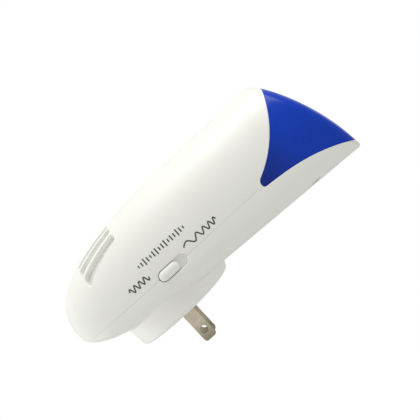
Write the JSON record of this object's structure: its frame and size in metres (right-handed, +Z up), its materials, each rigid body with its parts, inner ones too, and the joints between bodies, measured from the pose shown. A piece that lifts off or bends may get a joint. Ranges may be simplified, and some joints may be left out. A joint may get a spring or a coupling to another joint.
{
  "type": "ultrasonic pest repeller",
  "caption": "Plug-in pest repeller: rounded two-shell housing with a blue night-light lens, front sound vents, a side slide switch and flat plug blades.",
  "frame": {"origin": "centre of the plug boss's flat back face, midway between the two blades", "axes": "+Z up towards the night-light crown, +Y towards the wall along the blades, +X the side with the slide switch"},
  "size_m": [0.057, 0.0704, 0.1485],
  "materials": {
    "white_shell": "satin moulded ABS",
    "white_knob": "satin moulded ABS",
    "blue_lens": "gloss polycarbonate",
    "plated_brass": "nickel plated",
    "steel": "zinc plated",
    "board_green": "solder mask",
    "black_plastic": "moulded",
    "grey_plastic": "moulded",
    "capacitor_blue": "heat-shrink sleeve",
    "film_red": "dipped epoxy",
    "ceramic": "ceramic and phenolic",
    "mesh_cloth": "fine woven mesh",
    "cone_paper": "pressed paper",
    "clear_epoxy": "clear",
    "wire_red": "PVC insulation",
    "wire_black": "PVC insulation"
  },
  "bodies": {
    "housing": {"front_shell": "white_shell", "rear_shell": "white_shell", "night_light_lens": "blue_lens", "dust_mesh": "mesh_cloth", "housing_screw_right": "steel", "housing_screw_left": "steel", "housing_screw_nose": "steel", "plug_blade_right": "plated_brass", "plug_blade_left": "plated_brass", "blade_retainer": "grey_plastic", "retainer_screw_1": "steel", "retainer_screw_2": "steel", "live_lead": "wire_black", "neutral_lead": "wire_red", "switch_can": "steel", "switch_base": "ceramic", "switch_terminal_1": "plated_brass", "switch_terminal_2": "plated_brass", "switch_terminal_3": "plated_brass", "speaker_basket": "steel", "speaker_cone": "cone_paper", "piezo_disc": "plated_brass", "speaker_screw_1": "steel", "speaker_screw_2": "steel", "speaker_lead_1": "wire_red", "speaker_lead_2": "wire_black", "main_board": "board_green", "board_screw_1": "steel", "board_screw_2": "steel", "board_screw_3": "steel", "board_screw_4": "steel", "output_transformer": "film_red", "controller_chip": "black_plastic", "driver_transistor_1": "black_plastic", "driver_transistor_2": "black_plastic", "dropper_capacitor": "film_red", "smoothing_capacitor": "capacitor_blue", "timing_capacitor": "ceramic", "bridge_rectifier": "black_plastic", "fusible_resistor": "ceramic", "night_lamp_right": "clear_epoxy", "night_lamp_left": "clear_epoxy"},
    "slider": {"switch_knob": "white_knob", "switch_actuator": "black_plastic", "switch_contact": "plated_brass"}
  },
  "joints": [
    {"name": "mode_slide", "type": "slide", "parent": "housing", "child": "slider", "axis": [0, 0, 1], "range_m": [0, 0.004]}
  ]
}
